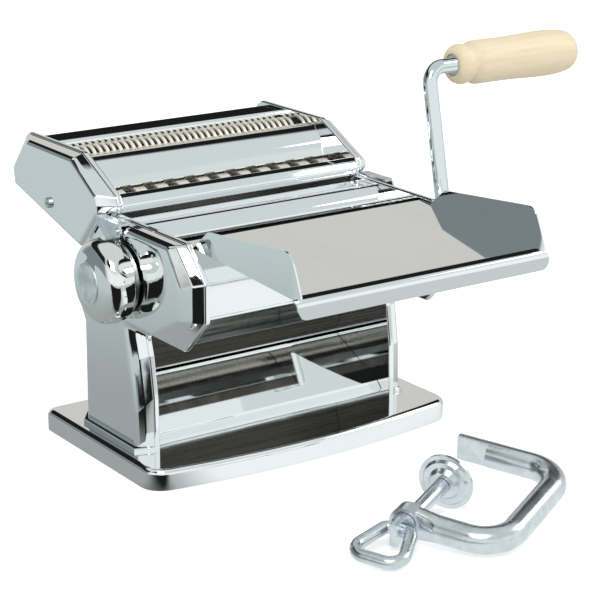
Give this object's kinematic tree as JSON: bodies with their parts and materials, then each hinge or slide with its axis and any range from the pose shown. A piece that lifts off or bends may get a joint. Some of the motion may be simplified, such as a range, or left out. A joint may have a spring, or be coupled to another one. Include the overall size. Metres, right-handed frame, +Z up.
{
  "type": "hand cranked pasta machine",
  "caption": "Table-top pasta roller and cutter with chromed housing, crank with wooden grip, adjusting knob, feed tray, lift-off cutter unit and screw clamp.",
  "frame": {"origin": "On the surface that the machine stands on, below the middle of its width and 65.2 mm behind the base's front corners, at the underside of the base.", "axes": "+X to the right when facing the feed tray, along the rollers' axes and out along the crank's grip; +Y to the rear, away from the feed tray; +Z up."},
  "size_m": [0.3086, 0.3211, 0.2023],
  "materials": {
    "chrome_sheet": "polished chrome plate on pressed steel sheet",
    "chrome_plate": "polished chrome plate",
    "chrome_rod": "polished chrome plate on steel rod",
    "chrome_knob": "polished chrome plate",
    "knob_cap": "satin",
    "zinc_steel": "bright zinc plate",
    "steel_rollers": "fine turned steel",
    "steel_parts": "plated steel",
    "gear_steel": "milled steel, greased",
    "bush_bronze": "sintered bronze",
    "cutter_metal": "turned, warm satin",
    "comb_plastic": "matt moulded nylon",
    "beech": "fine sanded beech, clear lacquer",
    "foot_rubber": "matt black rubber"
  },
  "bodies": {
    "frame": {"base_pan": "chrome_sheet", "base_feet": "foot_rubber", "clamp_channel": "zinc_steel", "left_side_plate": "chrome_plate", "right_side_plate": "chrome_plate", "left_side_cover": "chrome_sheet", "right_side_cover": "chrome_sheet", "foot_screws": "steel_parts", "tie_rods": "steel_parts", "tie_rod_nuts": "steel_parts", "front_guard": "chrome_sheet", "rear_guard": "chrome_sheet", "chute_plate": "chrome_sheet", "front_scraper": "steel_parts", "drive_bushes": "bush_bronze", "index_plate": "steel_parts"},
    "drive": {"drive_roller": "steel_rollers", "drive_gear": "gear_steel"},
    "carrier": {"bearing_blocks": "steel_parts", "rear_scraper": "steel_parts"},
    "adjustable": {"adjustable_roller": "steel_rollers", "adjustable_gear": "gear_steel"},
    "adjuster": {"adjuster_shaft": "steel_parts", "knob_spring": "steel_parts"},
    "knob": {"adjusting_knob": "chrome_knob", "knob_cap": "knob_cap", "index_pin": "steel_parts"},
    "crank": {"crank_rod": "chrome_rod", "crank_pin": "steel_parts", "crank_collar": "steel_parts"},
    "grip": {"crank_grip": "beech"},
    "cutter_unit": {"cutter_left_plate": "chrome_plate", "cutter_right_plate": "chrome_plate", "cutter_right_cover": "chrome_sheet", "cutter_left_cover": "chrome_sheet", "cutter_cover_screws": "steel_parts", "cutter_cover_posts": "steel_parts", "cutter_tie_rods": "steel_parts", "cutter_rear_guard": "chrome_sheet", "cutter_middle_guard": "chrome_sheet", "cutter_front_guard": "chrome_sheet", "narrow_combs": "comb_plastic", "wide_combs": "comb_plastic", "cutter_hooks": "zinc_steel"},
    "narrow_front": {"narrow_cutter_front": "cutter_metal", "narrow_gear_front": "gear_steel"},
    "narrow_rear": {"narrow_cutter_rear": "cutter_metal", "narrow_gear_rear": "gear_steel"},
    "wide_front": {"wide_cutter_front": "cutter_metal", "wide_gear_front": "gear_steel"},
    "wide_rear": {"wide_cutter_rear": "cutter_metal", "wide_gear_rear": "gear_steel"},
    "tray": {"feed_tray": "chrome_sheet"},
    "clamp": {"clamp_frame": "zinc_steel"},
    "clamp_shoe": {"clamp_pad": "zinc_steel"},
    "clamp_spindle": {"clamp_screw": "zinc_steel"},
    "clamp_loop": {"clamp_handle": "zinc_steel"}
  },
  "joints": [
    {"name": "drive_spin", "type": "hinge", "parent": "frame", "child": "drive", "pos_m": [0, -0.0535, 0.1005], "axis": [1, 0, 0], "continuous": true},
    {"name": "gap_slide", "type": "slide", "parent": "frame", "child": "carrier", "axis": [0, 1, 0], "range_m": [0, 0.002]},
    {"name": "adjustable_spin", "type": "hinge", "parent": "carrier", "child": "adjustable", "pos_m": [0, -0.0235, 0.1005], "axis": [1, 0, 0], "continuous": true},
    {"name": "knob_turn", "type": "hinge", "parent": "frame", "child": "adjuster", "pos_m": [0, -0.0235, 0.1005], "axis": [1, 0, 0], "range_deg": [0, 180]},
    {"name": "knob_pull", "type": "slide", "parent": "adjuster", "child": "knob", "axis": [-1, 0, 0], "range_m": [0, 0.004], "stiffness_N_per_m": 900, "springref_m": -0.003, "deforming": ["knob_spring"]},
    {"name": "crank_pull", "type": "slide", "parent": "drive", "child": "crank", "axis": [1, 0, 0], "range_m": [0, 0.03]},
    {"name": "grip_spin", "type": "hinge", "parent": "crank", "child": "grip", "pos_m": [0.16, -0.03522, 0.18954], "axis": [1, 0, 0], "continuous": true},
    {"name": "cutter_lift", "type": "slide", "parent": "frame", "child": "cutter_unit", "axis": [0, 0, 1], "range_m": [0, 0.06]},
    {"name": "narrow_front_spin", "type": "hinge", "parent": "cutter_unit", "child": "narrow_front", "pos_m": [0, 0.0405, 0.14], "axis": [1, 0, 0], "continuous": true},
    {"name": "narrow_rear_spin", "type": "hinge", "parent": "cutter_unit", "child": "narrow_rear", "pos_m": [0, 0.05696, 0.14115], "axis": [1, 0, 0], "continuous": true},
    {"name": "wide_front_spin", "type": "hinge", "parent": "cutter_unit", "child": "wide_front", "pos_m": [0, 0.0155, 0.1253], "axis": [1, 0, 0], "continuous": true},
    {"name": "wide_rear_spin", "type": "hinge", "parent": "cutter_unit", "child": "wide_rear", "pos_m": [0, 0.03175, 0.12244], "axis": [1, 0, 0], "continuous": true},
    {"name": "tray_lift", "type": "slide", "parent": "frame", "child": "tray", "axis": [0, 0, 1], "range_m": [0, 0.04]},
    {"name": "clamp_lift", "type": "slide", "parent": "frame", "child": "clamp", "axis": [0, 0, 1], "range_m": [0, 0.08]},
    {"name": "screw_travel", "type": "slide", "parent": "clamp", "child": "clamp_shoe", "axis": [0.8946, 0.43, 0.1215], "range_m": [-0.03, 0]},
    {"name": "screw_turn", "type": "hinge", "parent": "clamp_shoe", "child": "clamp_spindle", "pos_m": [-0.02542, -0.18358, 0.0102], "axis": [0.8946, 0.43, 0.1215], "range_deg": [-7200, 0]},
    {"name": "loop_swing", "type": "hinge", "parent": "clamp_spindle", "child": "clamp_loop", "pos_m": [-0.03401, -0.18771, 0.00903], "axis": [-0.4403, 0.8947, 0.075], "range_deg": [-75, 75]}
  ],
  "couplings": [
    {"joint": "knob_turn", "follows": "gap_slide", "rad_per_m": 1570.8},
    {"joint": "adjustable_spin", "follows": "drive_spin", "ratio": -1},
    {"joint": "narrow_rear_spin", "follows": "narrow_front_spin", "ratio": -1},
    {"joint": "wide_rear_spin", "follows": "wide_front_spin", "ratio": -1},
    {"joint": "screw_turn", "follows": "screw_travel", "rad_per_m": 4188.8}
  ]
}
